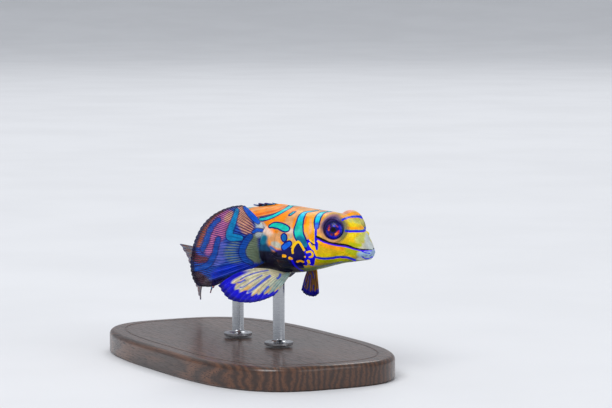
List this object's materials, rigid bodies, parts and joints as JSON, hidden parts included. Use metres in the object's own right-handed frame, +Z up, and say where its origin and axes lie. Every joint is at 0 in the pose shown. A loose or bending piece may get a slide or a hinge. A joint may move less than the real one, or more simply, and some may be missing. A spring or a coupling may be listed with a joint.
{
  "type": "mandarinfish display model",
  "caption": "Life-size display model of a mandarinfish with its fan fins spread, held over an oval base by two short rods.",
  "frame": {"origin": "centre of the underside of the stand's base, on the surface it rests on", "axes": "+X the way the fish faces, along the base's length, +Y to the fish's left, +Z up"},
  "size_m": [0.0659, 0.032, 0.026],
  "materials": {
    "skin": "wet painted skin, orange with turquoise and blue bands",
    "eye": "polished",
    "fin": "satin, rayed membrane with blue bands",
    "stand_base": "dark stained, satin",
    "stand_rod": "satin"
  },
  "bodies": {
    "root": {"head": "skin", "trunk": "skin", "tail": "skin", "eye_right": "eye", "eye_left": "eye", "pectoral_fin_right": "fin", "pectoral_fin_left": "fin", "pelvic_fin_right": "fin", "pelvic_fin_left": "fin", "dorsal_fin_first": "fin", "dorsal_fin_second": "fin", "anal_fin": "fin", "caudal_fin": "fin", "stand_base": "stand_base", "stand_rod_front": "stand_rod", "stand_rod_rear": "stand_rod"}
  },
  "joints": []
}
